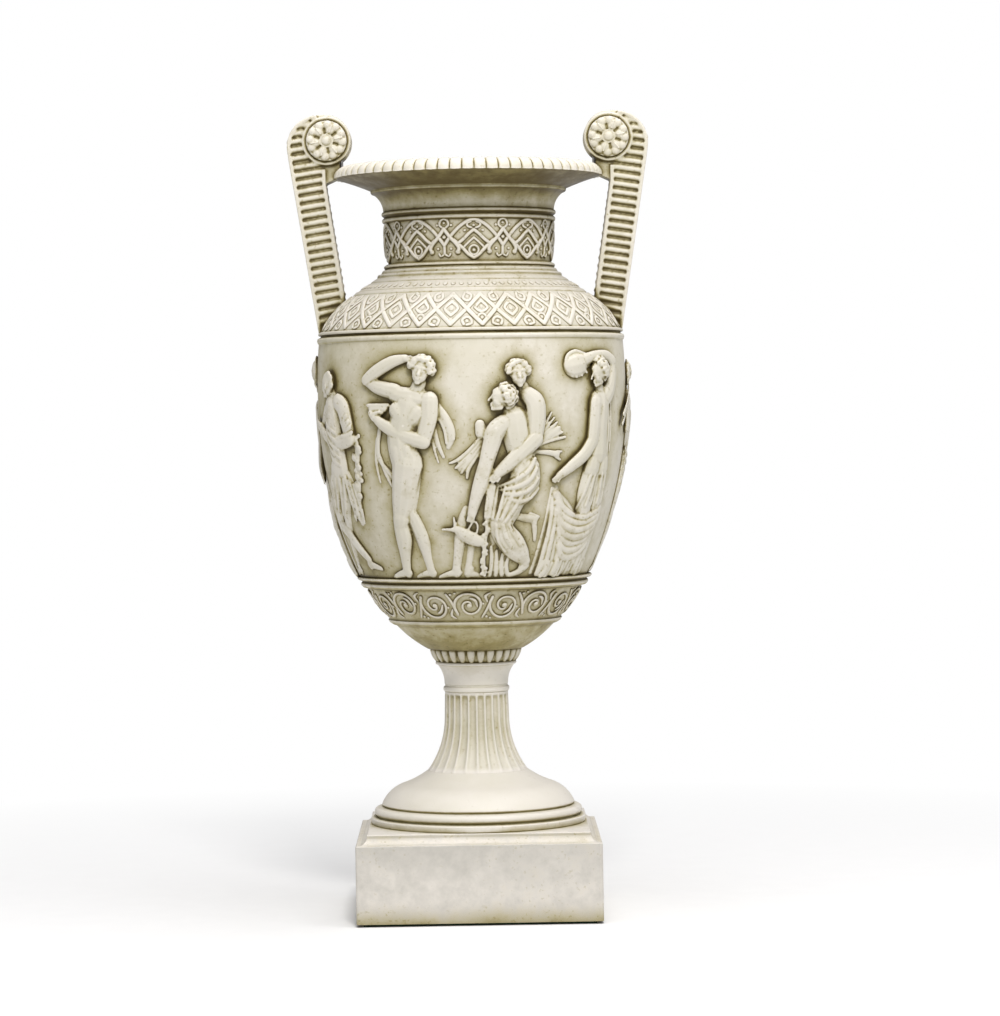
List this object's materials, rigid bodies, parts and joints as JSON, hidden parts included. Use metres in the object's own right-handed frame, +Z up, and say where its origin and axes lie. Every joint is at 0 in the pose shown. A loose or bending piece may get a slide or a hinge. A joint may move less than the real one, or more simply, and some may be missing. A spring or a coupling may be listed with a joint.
{
  "type": "amphora",
  "caption": "Footed marble amphora with two upright volute handles, a flared mouth and a body wrapped in relief figures, standing on a square plinth.",
  "frame": {"origin": "middle of the underside, on the surface that the amphora stands on", "axes": "+Z up, -Y towards the front face with the main figures, +X towards the right-hand handle"},
  "size_m": [0.272, 0.241, 0.6014],
  "materials": {
    "cast_marble": "cream cast marble, softly worn, with an olive-brown patina in the recesses",
    "steel": "plain zinc-plated fasteners",
    "felt": "dark green felt"
  },
  "bodies": {
    "root": {"base_felt": "felt", "plinth": "cast_marble", "plinth_cap": "cast_marble", "foot_ring": "cast_marble", "foot_bell": "cast_marble", "fluted_stem": "cast_marble", "stem_collar": "cast_marble", "bead_ring": "cast_marble", "bowl": "cast_marble", "drum": "cast_marble", "shoulder": "cast_marble", "neck": "cast_marble", "mouth": "cast_marble", "lip": "cast_marble", "handle_left": "cast_marble", "handle_right": "cast_marble", "rosette_front_left": "cast_marble", "rosette_front_right": "cast_marble", "rosette_back_left": "cast_marble", "rosette_back_right": "cast_marble", "handle_dowels": "steel", "tie_rod": "steel", "base_washer": "steel", "base_nut": "steel", "bowl_washer": "steel", "bowl_nut": "steel", "relief_garland_bearer": "cast_marble", "relief_youth_with_cup": "cast_marble", "relief_reeling_pair": "cast_marble", "relief_veiled_dancer": "cast_marble", "relief_piper": "cast_marble", "relief_back_youth": "cast_marble", "relief_back_pair": "cast_marble", "relief_back_piper": "cast_marble", "relief_back_dancer": "cast_marble"}
  },
  "joints": []
}
